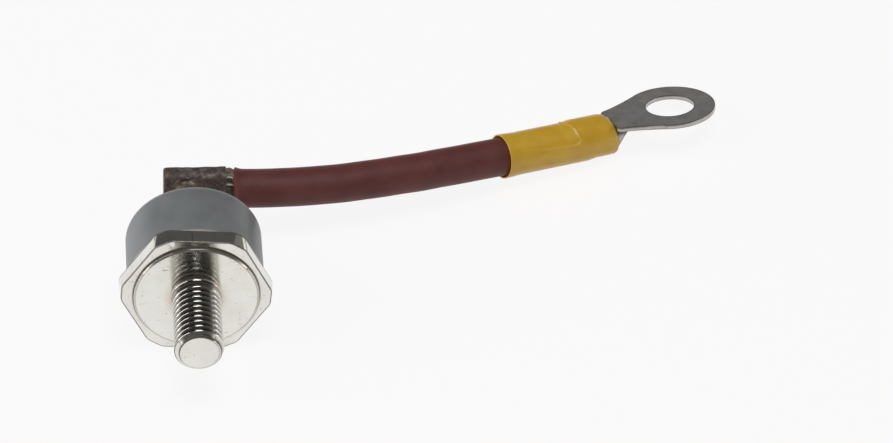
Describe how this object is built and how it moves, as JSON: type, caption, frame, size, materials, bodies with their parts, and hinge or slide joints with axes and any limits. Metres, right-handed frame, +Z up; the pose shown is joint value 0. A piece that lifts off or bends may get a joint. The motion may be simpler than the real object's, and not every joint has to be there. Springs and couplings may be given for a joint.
{
  "type": "stud rectifier diode",
  "caption": "Stud-mount rectifier diode with a hexagonal plated base, a moulded round body and a short insulated lead that ends in a sleeved ring terminal.",
  "frame": {"origin": "on the table, under the middle of the diode without its lead, halfway from the tip of the stud to the rear of the ferrule", "axes": "+Z up from the table that the diode lies on; the stud points to -Y, raised about 3 degrees; the lead leaves towards +X"},
  "size_m": [0.0789, 0.0521, 0.018],
  "materials": {
    "plated_copper": "satin nickel plate",
    "solder": "dull",
    "silicon": "polished",
    "silicone_coat": "matte",
    "copper": "tarnished",
    "moulded_epoxy": "smooth satin",
    "braze": "dull",
    "oxidised_copper": "dark oxide",
    "copper_strands": "bright strands",
    "silicone_insulation": "satin",
    "tinned_copper": "matte tin",
    "vinyl_sleeve": "translucent gloss"
  },
  "bodies": {
    "root": {"base": "plated_copper", "lower_solder": "solder", "chip": "silicon", "upper_solder": "solder", "junction_coat": "silicone_coat", "top_post": "copper", "body": "moulded_epoxy", "braze_fillet": "braze", "ferrule": "oxidised_copper", "conductor": "copper_strands", "lead_insulation": "silicone_insulation", "ring_terminal": "tinned_copper", "terminal_sleeve": "vinyl_sleeve"}
  },
  "joints": []
}
